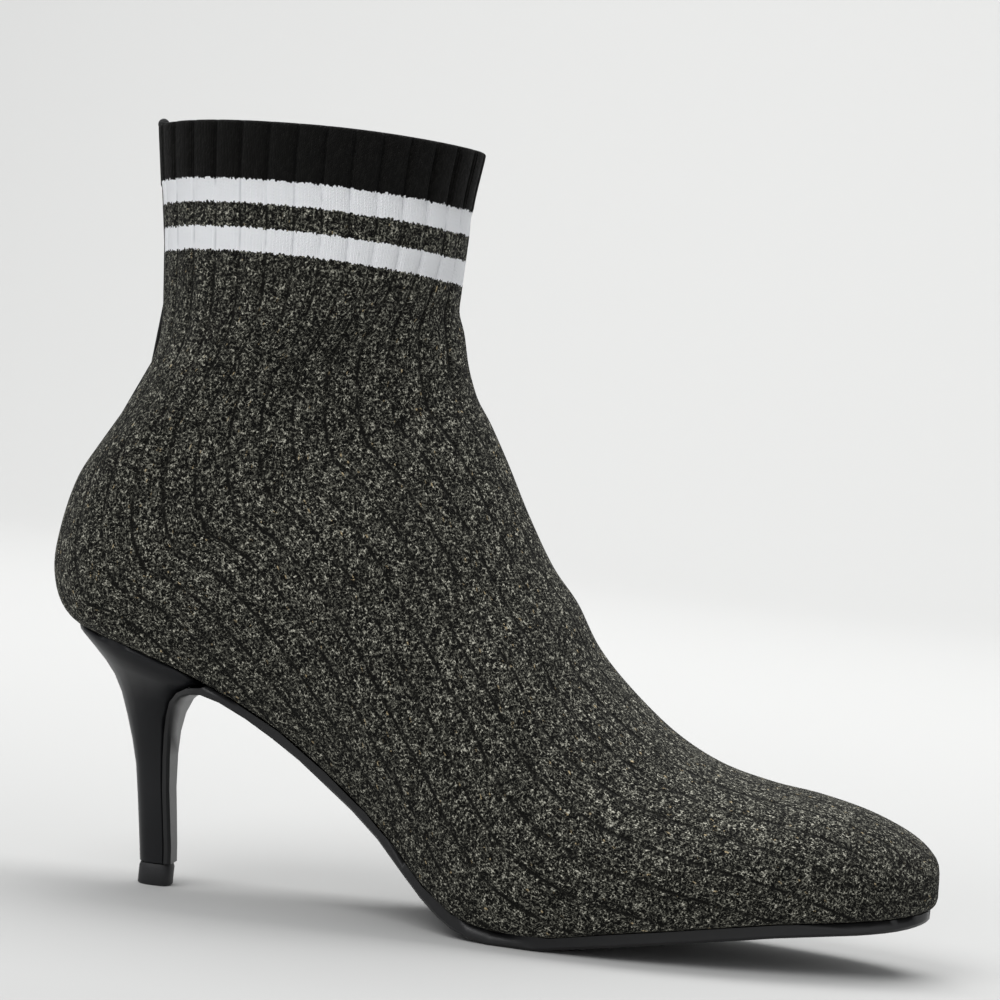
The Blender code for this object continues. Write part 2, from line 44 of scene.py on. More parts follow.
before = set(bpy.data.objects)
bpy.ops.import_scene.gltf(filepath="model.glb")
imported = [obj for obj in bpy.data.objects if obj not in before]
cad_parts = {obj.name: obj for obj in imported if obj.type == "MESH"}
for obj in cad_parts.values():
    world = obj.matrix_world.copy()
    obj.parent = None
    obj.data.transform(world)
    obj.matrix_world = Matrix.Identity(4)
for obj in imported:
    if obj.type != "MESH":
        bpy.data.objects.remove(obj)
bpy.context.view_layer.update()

# The last and the leg, as the solid boot has them
LENGTH = 0.240
HEEL_HEIGHT = 0.066
SHAFT_HEIGHT = 0.1325
TOE_SPRING = 0.0124
BALL_WIDTH = 0.078
STRETCHES = {"foot": (0.0765, 0.078), "heel": (0.123, 0.058), "leg": (0.085, 0.064)}
SOLE_THICKNESS = 0.0022
WAIST_THICKNESS = 0.0015
GAP = 0.0003
COLLAR_RISE = 0.0020
CUFF_ROW = 25
SEAT_ROW = 17
EDGE = 2.4
FLARE = 1.3

# The part of the sole's length over which it thickens from the waist to the tread
TREAD_START = 0.44
TREAD_END = 0.50

# Relief of the knit: the round rim of the collar, the step of the cuff, and how fast the bands
# spread towards the front of the leg
RIM_HEIGHT = 0.0010
RIM_DEPTH = 0.0007
CUFF_STEP = 0.0003
CUFF_SOFTNESS = 0.0006
BAND_SPREAD = 0.07
RIB_ROWS = (12.0, 20.0)
FOOT_ROWS = (15.0, 22.0)
GRID_ROWS = 196
RING_SAMPLES = 96

# The round knot in which the back tape ends, above the collar
TAPE_KNOT = 0.0015
TAPE_END = (-0.1037, 0.0, 0.1996)

# The knit's colours: lean of a stitch, noise scales of the flecks, and the ragged edge of a band in metres
STITCH_LEAN = 0.55
FLECKS = {"thick": 820.0, "thin": 1300.0, "patch": 640.0, "bit": 1700.0}
FRAY = {"wale": 0.0005, "fluff": 0.0013, "stitch": 0.0004}
WARM_SEED = 3.0
FRAY_SEED = 7.0
# Painted shadow: the grey that the white bands take along their rib lines, also the grey of their random
# fluff
SNOW_PAINTED_SHADOW_AND_FLUFF = (0.34, 0.35, 0.38)
# Painted shadow: the near-black of the cuff between its loops and in its channels
COAL_PAINTED_SHADOW = (0.002, 0.002, 0.0018)

# Lights: name, place, aim, size, power
BOOT_MIDDLE = (0.0, 0.0, 0.1)
LIGHTS = (
    ("key", (-0.7, -1.1, 1.5), BOOT_MIDDLE, 1.2, 23.0),
    ("fill", (1.5, -1.3, 0.9), BOOT_MIDDLE, 1.4, 4.2),
    ("top", (0.1, 0.5, 1.9), BOOT_MIDDLE, 1.6, 9.0),
    ("backdrop_light", (0.0, 0.9, 2.2), (0.0, 2.4, 0.6), 2.0, 74.0),
)
SKY_COLOUR = (0.9, 0.92, 0.95, 1.0)
SKY_STRENGTH = 0.46

# The low line of the sole: along of LENGTH, heel of HEEL_HEIGHT, spring of TOE_SPRING
FLOOR_LINE = (
    (0.035, 0.977, 0.0),
    (0.054, 0.960, 0.0),
    (0.074, 0.944, 0.0),
    (0.108, 0.911, 0.0),
    (0.139, 0.875, 0.0),
    (0.169, 0.838, 0.0),
    (0.192, 0.810, 0.0),
    (0.213, 0.782, 0.0),
    (0.243, 0.730, 0.0),
    (0.274, 0.665, 0.0),
    (0.305, 0.594, 0.0),
    (0.337, 0.508, 0.0),
    (0.369, 0.423, 0.0),
    (0.401, 0.328, 0.0),
    (0.433, 0.212, 0.0),
    (0.456, 0.134, 0.0),
    (0.477, 0.074, 0.0),
    (0.493, 0.040, 0.0),
    (0.512, 0.015, 0.0),
    (0.535, 0.0, 0.0),
    (0.585, 0.0, 0.0),
    (0.625, 0.0, 0.130),
    (0.667, 0.0, 0.262),
    (0.750, 0.0, 0.508),
    (0.833, 0.0, 0.742),
    (0.917, 0.0, 0.903),
    (0.954, 0.0, 1.0),
    (0.979, 0.0, 1.120),
    (0.987, 0.0, 1.180),
    (0.996, 0.0, 1.290),
    (1.0, 0.0, 1.500),
)

# Sections of the upper from the toe to the collar, as shares of the sizes above
COLUMNS = (
    "along", "up", "angle", "stretch", "reach", "half", "middle", "lean",
    "foot", "corner", "widest", "ridge", "open",
)
SECTIONS = (
    (1.0000, 0.0, 90.0, "foot", 0.000, 0.000, 0.064, 0.000, 0.88, 0.300, 0.42, 2.20, 0.00),
    (0.9967, 0.0, 89.0, "foot", 0.134, 0.074, 0.065, 0.000, 0.88, 0.300, 0.42, 2.20, 0.00),
    (0.9858, 0.0, 88.5, "foot", 0.206, 0.136, 0.066, 0.000, 0.90, 0.200, 0.40, 2.20, 0.00),
    (0.9667, 0.0, 87.0, "foot", 0.266, 0.192, 0.067, 0.000, 0.92, 0.140, 0.38, 2.20, 0.00),
    (0.9375, 0.0, 85.0, "foot", 0.321, 0.250, 0.064, 0.004, 0.93, 0.110, 0.37, 2.20, 0.45),
    (0.8917, 0.0, 81.5, "foot", 0.379, 0.318, 0.056, 0.013, 0.94, 0.090, 0.36, 2.15, 0.64),
    (0.8250, 0.0, 75.7, "foot", 0.442, 0.392, 0.041, 0.026, 0.945, 0.075, 0.35, 2.10, 0.72),
    (0.7500, 0.0, 69.2, "foot", 0.518, 0.449, 0.023, 0.038, 0.945, 0.064, 0.34, 2.05, 0.75),
    (0.6667, 0.0, 64.9, "foot", 0.628, 0.490, 0.008, 0.049, 0.94, 0.052, 0.33, 2.00, 0.76),
    (0.5833, 0.0, 62.8, "foot", 0.785, 0.500, 0.000, 0.051, 0.93, 0.042, 0.32, 1.95, 0.76),
    (0.5083, 0.0, 62.5, "foot", 0.922, 0.479, -0.008, 0.046, 0.89, 0.036, 0.32, 1.90, 0.74),
    (0.4563, 0.0, 61.2, "foot", 0.973, 0.449, -0.010, 0.038, 0.80, 0.034, 0.33, 1.85, 0.68),
    (0.4083, 0.0, 57.9, "foot", 1.000, 0.428, -0.008, 0.031, 0.70, 0.033, 0.34, 1.85, 0.60),
    (0.3500, 0.0, 52.7, "heel", 0.635, 0.545, -0.003, 0.023, 0.66, 0.032, 0.33, 1.85, 0.56),
    (0.2750, 0.0, 47.1, "heel", 0.689, 0.524, 0.003, 0.015, 0.70, 0.031, 0.31, 1.90, 0.56),
    (0.1917, 0.0, 43.0, "heel", 0.784, 0.514, 0.001, 0.009, 0.77, 0.030, 0.29, 1.90, 0.58),
    (0.1125, 0.0, 39.4, "heel", 0.884, 0.507, 0.000, 0.004, 0.80, 0.032, 0.28, 1.95, 0.56),
    (0.0583, 0.0, 37.3, "heel", 0.954, 0.503, 0.000, 0.000, 0.79, 0.060, 0.28, 1.95, 0.40),
    (0.0246, 0.0234, 35.8, "heel", 0.995, 0.501, 0.000, 0.000, 0.80, 0.110, 0.29, 1.95, 0.00),
    (0.0069, 0.0792, 34.3, "heel", 1.001, 0.500, 0.000, 0.000, 0.84, 0.160, 0.30, 1.95, 0.00),
    (0.0035, 0.1585, 33.3, "heel", 0.980, 0.500, 0.000, 0.000, 0.89, 0.210, 0.32, 1.95, 0.00),
    (0.0192, 0.2928, 29.5, "heel", 0.888, 0.507, 0.000, 0.000, 0.94, 0.290, 0.37, 2.00, 0.00),
    (0.0576, 0.4174, 26.5, "leg", 1.127, 0.469, 0.000, 0.000, 0.98, 0.370, 0.42, 2.00, 0.00),
    (0.0920, 0.5660, 21.3, "leg", 0.980, 0.478, 0.000, 0.000, 1.00, 0.440, 0.46, 2.00, 0.00),
    (0.0903, 0.7321, 11.4, "leg", 0.939, 0.484, 0.000, 0.000, 1.00, 0.480, 0.49, 2.00, 0.00),
    (0.0788, 0.8880, 2.5, "leg", 0.954, 0.491, 0.000, 0.000, 1.00, 0.500, 0.50, 2.00, 0.00),
    (0.0696, 1.0000, 1.4, "leg", 1.000, 0.500, 0.000, 0.000, 1.00, 0.500, 0.50, 2.00, 0.00),
)


class KnitSettings(bpy.types.PropertyGroup):
    """Sizes and yarn colours of the knitted upper."""

    wall: FloatProperty(name="Wall", description="Thickness of the knit", default=0.0018, unit="LENGTH")
    ribs: IntProperty(name="Ribs", description="Ribs on each side of the leg", default=16)
    channel: FloatProperty(
        name="Channel", description="Depth between two ribs of the cuff", default=0.0009, unit="LENGTH"
    )
    crown: FloatProperty(
        name="Crown", description="Rise in the middle of a rib", default=0.0003, unit="LENGTH"
    )
    cuff: FloatProperty(name="Cuff", description="Height of the black band", default=0.0148, unit="LENGTH")
    stripe: FloatProperty(name="Stripe", description="Height of a white band", default=0.0060, unit="LENGTH")
    space: FloatProperty(
        name="Space", description="Height between the white bands", default=0.0062, unit="LENGTH"
    )
    wales: IntProperty(name="Wales", description="Columns of stitches in a rib", default=8)
    course: FloatProperty(name="Course", description="Height of a stitch", default=0.00085, unit="LENGTH")
    foot_ribs: FloatProperty(
        name="Foot Ribs", description="Ribs on each side that end at the sole edge", default=11.0
    )
    # Also the colour of the painted shade between the loops and in the grooves of the melange
    dark: FloatVectorProperty(
        name="Dark Yarn", description="Ground of the melange", subtype="COLOR",
        default=(0.0045, 0.0043, 0.0034),
    )
    grey: FloatVectorProperty(
        name="Grey Yarn", description="Flecks of the melange", subtype="COLOR", default=(0.078, 0.077, 0.063)
    )
    light: FloatVectorProperty(
        name="Light Yarn", description="Bright flecks", subtype="COLOR", default=(0.56, 0.545, 0.46)
    )
    gold: FloatVectorProperty(
        name="Gold Yarn", description="Rare warm flecks", subtype="COLOR", default=(0.55, 0.42, 0.22)
    )
    black: FloatVectorProperty(
        name="Black Yarn", description="The ribbed cuff", subtype="COLOR", default=(0.0042, 0.0040, 0.0034)
    )
    white: FloatVectorProperty(
        name="White Yarn", description="The two bands", subtype="COLOR", default=(0.90, 0.91, 0.93)
    )


class TrimSettings(bpy.types.PropertyGroup):
    """Colours of the parts that aren't knitted."""

    heel: FloatVectorProperty(
        name="Heel", description="Cover of the heel", subtype="COLOR", default=(0.0075, 0.0078, 0.0088)
    )
    sole: FloatVectorProperty(
        name="Sole", description="Outsole and breast flap", subtype="COLOR", default=(0.011, 0.011, 0.0115)
    )
    tip: FloatVectorProperty(
        name="Tip", description="Top piece", subtype="COLOR", default=(0.010, 0.010, 0.011)
    )
    tape: FloatVectorProperty(
        name="Tape", description="Back tape", subtype="COLOR", default=(0.009, 0.009, 0.009)
    )
    sock: FloatVectorProperty(
        name="Sock", description="Insole cover", subtype="COLOR", default=(0.045, 0.042, 0.038)
    )
    lining: FloatVectorProperty(
        name="Lining", description="Inside of the knit", subtype="COLOR", default=(0.020, 0.020, 0.019)
    )


class StudioSettings(bpy.types.PropertyGroup):
    """Camera, floor and lights."""

    eye: FloatVectorProperty(
        name="Eye", description="Camera position", subtype="XYZ", unit="LENGTH",
        default=(0.1133, -0.9550, 0.1467),
    )
    aim: FloatVectorProperty(
        name="Aim", description="Point in the middle of the view", subtype="XYZ", unit="LENGTH",
        default=(-0.0043, 0.0, 0.1111),
    )
    roll: FloatProperty(
        name="Roll", description="Turn of the camera", default=math.radians(6.17), unit="ROTATION"
    )
    lens: FloatProperty(name="Lens", description="Focal length in millimetres", default=132.8)
    floor: FloatVectorProperty(
        name="Floor", description="Floor and sweep", subtype="COLOR", default=(0.475, 0.475, 0.468)
    )


SETTINGS = {"boot_knit": KnitSettings, "boot_trim": TrimSettings, "boot_studio": StudioSettings}


def between(knots, values, at):
    """Monotone cubic curve through the values, level wherever two neighbours are level."""
    knots = np.asarray(knots, float)
    values = np.asarray(values, float)
    step = np.diff(knots)
    slope = np.diff(values) / step
    tangent = np.zeros(len(knots))
    tangent[0] = slope[0]
    tangent[-1] = slope[-1]
    for i in range(1, len(knots) - 1):
        if slope[i - 1] * slope[i] > 0:
            before = 2 * step[i] + step[i - 1]
            after = step[i] + 2 * step[i - 1]
            tangent[i] = (before + after) / (before / slope[i - 1] + after / slope[i])
    i = int(np.clip(np.searchsorted(knots, at, side="right") - 1, 0, len(step) - 1))
    s = (at - knots[i]) / step[i]
    return float(
        values[i] * (1 + 2 * s) * (1 - s) ** 2
        + values[i + 1] * s * s * (3 - 2 * s)
        + tangent[i] * step[i] * s * (1 - s) ** 2
        - tangent[i + 1] * step[i] * s * s * (1 - s)
    )


def through(values, k):
    """Smooth curve through the values, read at a row number with a fraction."""
    i = min(int(k), len(values) - 2)
    s = k - i
    low = values[i]
    high = values[i + 1]
    before = values[i - 1] if i else 2 * low - high
    after = values[i + 2] if i + 2 < len(values) else 2 * high - low
    first = (high - before) / 2
    last = (after - low) / 2
    bend = 3 * (high - low) - 2 * first - last
    twist = first + last - 2 * (high - low)
    return low + s * (first + s * (bend + s * twist))


def soft(low, high, value):
    """Smooth step from 0 at low to 1 at high, for numbers and arrays."""
    share = np.clip((value - low) / (high - low), 0.0, 1.0)
    return share * share * (3 - 2 * share)


def upper_bottom(x):
    """Height of the upper's lower face along the middle of the foot."""
    shares = [row[0] for row in FLOOR_LINE]
    heights = [row[1] * HEEL_HEIGHT + row[2] * TOE_SPRING for row in FLOOR_LINE]
    tread = float(soft(TREAD_START * LENGTH, TREAD_END * LENGTH, x))
    thickness = WAIST_THICKNESS + (SOLE_THICKNESS - WAIST_THICKNESS) * tread
    return between(shares, heights, x / LENGTH) + thickness + GAP


def row_sizes(row):
    """A row of SECTIONS in metres."""
    sizes = dict(zip(COLUMNS, row))
    reach, width = STRETCHES[sizes.pop("stretch")]
    reach *= sizes.pop("reach")
    angle = math.radians(sizes.pop("angle"))
    x = sizes.pop("along") * LENGTH
    up = sizes.pop("up")
    z = HEEL_HEIGHT + up * SHAFT_HEIGHT if up > 0 else upper_bottom(x)
    sizes.update(x=x, z=z, high_x=x + reach * math.cos(angle), high_z=z + reach * math.sin(angle))
    sizes["half"] *= width
    sizes["middle"] *= BALL_WIDTH
    sizes["lean"] *= BALL_WIDTH
    return sizes


ROWS = [row_sizes(row) for row in SECTIONS]
LAST_ROW = len(ROWS) - 1


def section(k):
    """Sizes of the section at row k, which may lie between two rows."""
    size = {}
    for name in ROWS[0]:
        values = [row[name] for row in ROWS]
        if name in ("foot", "corner", "widest", "ridge", "open"):
            size[name] = between(range(len(ROWS)), values, k)
        else:
            size[name] = through(values, k)
    run = size["high_x"] - size["x"]
    rise = size["high_z"] - size["z"]
    size["reach"] = math.hypot(run, rise)
    size["angle"] = math.atan2(rise, run) if size["reach"] > 0 else math.pi / 2
    return size


def spread(size, height):
    """Half width at a share of the section's reach, as a share of its greatest half width."""
    if height < size["widest"]:
        rounding = 1 - max(0.0, 1 - height / size["corner"]) ** EDGE
        swell = math.sin(math.pi / 2 * height / size["widest"]) ** FLARE
        return size["foot"] * rounding ** (1 / EDGE) + (1 - size["foot"]) * swell
    share = (height - size["widest"]) / (1 - size["widest"])
    return max(0.0, 1 - share ** size["ridge"]) ** (1 / size["ridge"])


def half_ring(k, shares, side):
    """Points on one side of section k, at shares of the way from the opening's edge to the ridge."""
    size = section(k)
    heights = [(1 - math.cos(math.pi * i / RING_SAMPLES)) / 2 for i in range(RING_SAMPLES + 1)]
    line = np.array([(spread(size, h) * size["half"], h * size["reach"]) for h in heights])
    line[-1, 0] = 0.0
    run = np.concatenate([[0.0], np.cumsum(np.hypot(*np.diff(line, axis=0).T))])
    edge = size["open"] * size["foot"] * size["half"]
    low = line[:, 1] <= size["corner"] * size["reach"]
    start = float(np.interp(edge, line[low, 0], run[low])) if edge > GAP else 0.0
    distance = start + (run[-1] - start) * np.asarray(shares)
    out = np.interp(distance, run, line[:, 0])
    up = np.interp(distance, run, line[:, 1])
    share = up / max(size["reach"], 1e-9)
    rise = COLLAR_RISE * soft(CUFF_ROW - 3, CUFF_ROW, k) * (out / max(size["half"], GAP)) ** 2
    x = size["x"] + up * math.cos(size["angle"]) - LENGTH / 2
    y = size["middle"] + size["lean"] * share ** 2 + side * out
    z = size["z"] + up * math.sin(size["angle"]) + rise
    return np.stack([x, y, z], axis=1)


def ring(k, shares):
    """Points round section k: one side up to the ridge, then the other side down."""
    first = half_ring(k, shares, 1)
    second = half_ring(k, shares, -1)
    return np.concatenate([first, second[-2::-1]])


def even_rows(count):
    """Row numbers from toe to collar that lie about evenly along the skin."""
    coarse = np.linspace(0, LAST_ROW, 8 * LAST_ROW + 1)
    rings = np.array([ring(k, (0.0, 0.5, 1.0)) for k in coarse])
    steps = np.linalg.norm(np.diff(rings, axis=0), axis=2).max(axis=1)
    travelled = np.concatenate([[0.0], np.cumsum(steps)])
    return np.interp(np.linspace(0, travelled[-1], count), travelled, coarse)


class Value:
    """A number in a material's node tree, on which sums are written as sums."""

    def __init__(self, graph, socket):
        self.graph = graph
        self.socket = socket

    def math(self, operation, *others):
        return self.graph.node("ShaderNodeMath", {"operation": operation}, [self, *others])

    def __add__(self, other):
        return self.math("ADD", other)

    def __sub__(self, other):
        return self.math("SUBTRACT", other)

    def __mul__(self, other):
        return self.math("MULTIPLY", other)

    def __truediv__(self, other):
        return self.math("DIVIDE", other)

    def __rsub__(self, other):
        return self.graph.node("ShaderNodeMath", {"operation": "SUBTRACT"}, [other, self])

    __radd__ = __add__
    __rmul__ = __mul__

    def floor(self):
        return self.math("FLOOR")

    def fraction(self):
        return self.math("FRACT")

    def size(self):
        return self.math("ABSOLUTE")

    def above(self, limit):
        return self.math("GREATER_THAN", limit)

    def rise(self, low, high):
        """Smooth step from 0 at low to 1 at high."""
        settings = {"interpolation_type": "SMOOTHSTEP"}
        sockets = {"Value": self, "From Min": low, "From Max": high}
        return self.graph.node("ShaderNodeMapRange", settings, sockets)


class Graph:
    """Node tree of one material with a Principled shader."""

    def __init__(self, name, **constants):
        self.material = bpy.data.materials.new(name)
        self.material.use_nodes = True
        self.tree = self.material.node_tree
        self.shader = self.tree.nodes["Principled BSDF"]
        for socket, value in constants.items():
            self.shader.inputs[socket.replace("_", " ").title()].default_value = value

    def node(self, kind, settings=None, sockets=None, output=0):
        """A node of that type. Settings come first, then the values or links of its sockets."""
        made = self.tree.nodes.new(kind)
        for name, value in (settings or {}).items():
            setattr(made, name, value)
        pairs = sockets.items() if isinstance(sockets, dict) else enumerate(sockets or ())
        for name, value in pairs:
            if isinstance(value, Value):
                self.tree.links.new(value.socket, made.inputs[name])
            else:
                made.inputs[name].default_value = value
        return Value(self, made.outputs[output])

    def feed(self, socket, value):
        self.tree.links.new(value.socket, self.shader.inputs[socket])

    def mix(self, share, first, second):
        """Colour between two colours. A colour is a Value or three numbers."""
        first, second = ((*c, 1.0) if not isinstance(c, Value) else c for c in (first, second))
        settings = {"data_type": "RGBA"}
        return self.node("ShaderNodeMix", settings, {"Factor": share, 6: first, 7: second}, 2)

    def place(self):
        return self.node("ShaderNodeTexCoord", output=3)

    def noise(self, scale, detail=2.0, roughness=0.5):
        sockets = {"Vector": self.place(), "Scale": scale, "Detail": detail, "Roughness": roughness}
        return self.node("ShaderNodeTexNoise", None, sockets)

    def map_pair(self, name):
        """The two numbers of a UV map."""
        whole = self.node("ShaderNodeUVMap", {"uv_map": name})
        return [self.node("ShaderNodeSeparateXYZ", None, [whole], i) for i in (0, 1)]

    def chance(self, x, y, seed=0.0):
        """A number from 0 to 1 for each whole x and y."""
        where = self.node("ShaderNodeCombineXYZ", None, [x, y, seed])
        return self.node("ShaderNodeTexWhiteNoise", {"noise_dimensions": "3D"}, {"Vector": where})

    def ramp(self, value, stops):
        """Colour ramp with (position, colour) stops."""
        made = self.tree.nodes.new("ShaderNodeValToRGB")
        elements = made.color_ramp.elements
        while len(elements) < len(stops):
            elements.new(0.5)
        for element, (position, colour) in zip(elements, stops):
            element.position = position
            element.color = (*colour, 1.0)
        self.tree.links.new(value.socket, made.inputs["Fac"])
        return Value(self, made.outputs["Color"])

    def bump(self, height, distance, strength):
        sockets = {"Height": height, "Distance": distance, "Strength": strength}
        self.feed("Normal", self.node("ShaderNodeBump", None, sockets))


def stitches(graph, wale, course):
    """Cell of each half stitch, the lean of its yarn and the yarn's round rise."""
    across = (wale * 2).fraction()
    column = (wale * 2).floor()
    leaning = 1 - across
    odd = column.math("MODULO", 2.0)
    slant = STITCH_LEAN * (across + odd * (leaning - across))
    climb = course + slant
    bulge = (across - 0.5) * 2
    length = (climb.fraction() - 0.5) * 2
    loop = (1 - (bulge * bulge) * 0.9 - (length * length) * 0.75).math("MAXIMUM", 0.0)
    return (column, climb.floor()), slant, loop


def melange_colour(graph, knit, cell, yarn):
    """Dark yarn with short curled flecks in greys, and a rare warm one."""
    thick = 1 - (graph.noise(FLECKS["thick"], 1.0) - 0.5).size().rise(0.0, 0.13)
    thin = 1 - (graph.noise(FLECKS["thin"], 1.0) - 0.5).size().rise(0.0, 0.10)
    strength = graph.noise(FLECKS["patch"], 2.0).rise(0.28, 0.68)
    bits = graph.noise(FLECKS["bit"], 1.0).rise(0.36, 0.60)
    curls = thick.math("MAXIMUM", thin * 0.85) * (0.56 + strength * 0.38)
    tone = curls * (0.48 + bits * 0.64) + (yarn - 0.5) * 0.24
    stops = (
        (0.0, 0.25, knit.dark),
        (0.24, 1.0, knit.dark),
        (0.42, 0.50, knit.grey),
        (0.62, 1.3, knit.grey),
        (0.82, 3.2, knit.grey),
        (1.0, 1.0, knit.light),
    )
    melange = graph.ramp(tone, [(place, [share * c for c in colour]) for place, share, colour in stops])
    rare = graph.chance(*cell, WARM_SEED).above(0.99) * tone.rise(0.3, 0.7) * 0.6
    return graph.mix(rare, melange, knit.gold)


def white_bands(knit, drop):
    """1 in the two white bands and 0 elsewhere, from the way down from the collar."""
    first_low = knit.cuff + knit.stripe
    second_top = first_low + knit.space
    second_low = second_top + knit.stripe
    return drop.above(knit.cuff) - drop.above(first_low) + drop.above(second_top) - drop.above(second_low)


def knit_material(knit):
    """Stitches with melange yarn, painted shade between the loops and along the rib lines on the foot, and
    the bands of the leg.
    """
    graph = Graph("knit", roughness=0.95, sheen_weight=0.02, sheen_roughness=0.5)
    graph.shader.inputs["Specular IOR Level"].default_value = 0.10
    wale, course = graph.map_pair("stitches")
    drop, foot = graph.map_pair("bands")
    cell, slant, loop = stitches(graph, wale, course)
    yarn = graph.chance(*cell)

    # Painted shade: the melange darkens to the dark yarn between the loops of the stitches and in the grooves
    # between the ribs
    near = ((wale / knit.wales + 0.5).fraction() - 0.5).size()
    groove = (1 - near.rise(0.025, 0.075)) * (0.55 + 0.45 * graph.noise(300.0, 1.0).rise(0.35, 0.6))
    shade = loop.rise(-0.5, 0.6) * (1 - groove)
    melange = graph.mix(shade, knit.dark, melange_colour(graph, knit, cell, yarn))

    fray = (graph.chance(cell[0], 0.0, FRAY_SEED) - 0.5) * FRAY["wale"]
    fray = fray + (graph.noise(1100.0, 2.0) - 0.5) * FRAY["fluff"] + slant * FRAY["stitch"]
    edge = drop + fray
    white = white_bands(knit, edge)
    # Painted shadow: grey lines along the ribs of the white bands; the random grey fluff is the yarn's own
    rib_shadow = (1 - near.rise(0.0, 0.07)) * graph.noise(160.0).rise(0.35, 0.65)
    fluff = graph.noise(700.0).rise(0.62, 0.75)
    snow = graph.mix((rib_shadow * 0.38 + fluff * 0.08).math("MINIMUM", 1.0), knit.white, SNOW_PAINTED_SHADOW_AND_FLUFF)

    # Painted shadow: the black cuff darkens between its loops and in its channels; the lighter random yarn
    # after it is its own tone
    coal = graph.mix(loop.rise(-0.3, 1.0) * (1 - groove * 0.9), COAL_PAINTED_SHADOW, knit.black)
    coal = graph.mix(yarn.rise(0.5, 1.0) * 0.35, coal, [2.2 * c for c in knit.black])
    body = graph.mix(white, melange, snow)
    graph.feed("Base Color", graph.mix(edge.above(knit.cuff), coal, body))
    graph.bump(loop * 0.55 - groove * foot * 0.9 + yarn * 0.15, 0.0004, 0.9)
    graph.feed("Roughness", 0.95 - yarn * 0.25 * (1 - white))
    return graph.material


def lining_material(trim):
    graph = Graph("lining", roughness=0.9)
    weave = graph.node("ShaderNodeTexWave", {"wave_type": "BANDS"}, {"Vector": graph.place(), "Scale": 420.0})
    graph.feed("Base Color", graph.mix(weave.rise(0.2, 0.9), [0.6 * c for c in trim.lining], trim.lining))
    graph.bump(weave + graph.noise(900.0), 0.0002, 0.6)
    return graph.material


def heel_material(trim):
    """Satin lacquer with a faint orange peel and broad patches of a lighter tone."""
    graph = Graph("heel_cover", roughness=0.36, coat_weight=0.05, coat_roughness=0.22)
    graph.shader.inputs["Specular IOR Level"].default_value = 0.22
    broad = graph.noise(55.0, 3.0)
    fine = graph.noise(1500.0, 2.0)
    graph.feed("Base Color", graph.mix(broad.rise(0.3, 0.7), trim.heel, [1.35 * c for c in trim.heel]))
    graph.feed("Roughness", 0.30 + broad * 0.10 + fine * 0.06)
    graph.bump(fine * 0.4 + broad * 0.6, 0.00004, 0.5)
    return graph.material


def sole_material(trim):
    """Moulded sole: satin edge with fine specks and slight scuffs underneath."""
    graph = Graph("sole", roughness=0.4, coat_weight=0.08, coat_roughness=0.3)
    graph.shader.inputs["Specular IOR Level"].default_value = 0.35
    height = graph.node("ShaderNodeSeparateXYZ", None, [graph.place()], 2)
    scuff = graph.noise(240.0, 4.0, roughness=0.65).rise(0.5, 0.72) * (1 - height.rise(0.0, 0.0015))
    speck = graph.noise(1800.0)
    colour = graph.mix(scuff * 0.6, trim.sole, (0.045, 0.044, 0.042))
    graph.feed("Base Color", colour)
    graph.feed("Roughness", 0.36 + speck * 0.12 + scuff * 0.3)
    graph.bump(speck * 0.5 + graph.noise(120.0) * 0.5 - scuff * 0.4, 0.00006, 0.6)
    return graph.material


def tip_material(trim):
    """Rubber of the top piece, with a fine grain."""
    graph = Graph("tip_rubber", roughness=0.62)
    grain = graph.noise(1300.0, 3.0)
    graph.feed("Base Color", graph.mix(grain, [0.7 * c for c in trim.tip], [1.5 * c for c in trim.tip]))
    graph.bump(grain, 0.00008, 0.7)
    return graph.material


def tape_material(trim):
    """Woven tape, with its threads across."""
    graph = Graph("woven_tape", roughness=0.85)
    height = graph.node("ShaderNodeSeparateXYZ", None, [graph.place()], 2)
    thread = ((height * 1700.0).fraction() - 0.5).size() * 2
    graph.feed("Base Color", graph.mix(thread, [0.6 * c for c in trim.tape], [1.7 * c for c in trim.tape]))
    graph.bump(thread + graph.noise(1600.0) * 0.5, 0.00015, 0.8)
    return graph.material


def sock_material(trim):
    """Brushed cover of the insole, with a fine twill."""
    graph = Graph("sock_cover", roughness=0.9)
    parts = [graph.node("ShaderNodeSeparateXYZ", None, [graph.place()], i) for i in (0, 1)]
    twill = (((parts[0] + parts[1]) * 900.0).fraction() - 0.5).size() * 2
    wear = graph.noise(60.0, 3.0)
    cloth = graph.mix(twill, [0.7 * c for c in trim.sock], [1.3 * c for c in trim.sock])
    graph.feed("Base Color", graph.mix(wear.rise(0.4, 0.8) * 0.4, cloth, [0.5 * c for c in trim.sock]))
    graph.bump(twill + graph.noise(1400.0), 0.0002, 0.5)
    return graph.material


def show(name, bm, materials):
    """Object at the origin from a bmesh, shaded smooth."""
    mesh = bpy.data.meshes.new(name)
    bm.to_mesh(mesh)
    bm.free()
    mesh.shade_smooth()
    obj = bpy.data.objects.new(name, mesh)
    bpy.context.scene.collection.objects.link(obj)
    for material in materials:
        mesh.materials.append(material)
    return obj


def rib_shares(knit):
    """Shares of the way from the opening to the ridge, closer together at the channels."""
    cuts = (0.0, 0.06, 0.16, 0.38, 0.62, 0.84, 0.94)
    shares = [(rib + cut) / knit.ribs for rib in range(knit.ribs) for cut in cuts]
    return np.array(shares + [1.0])


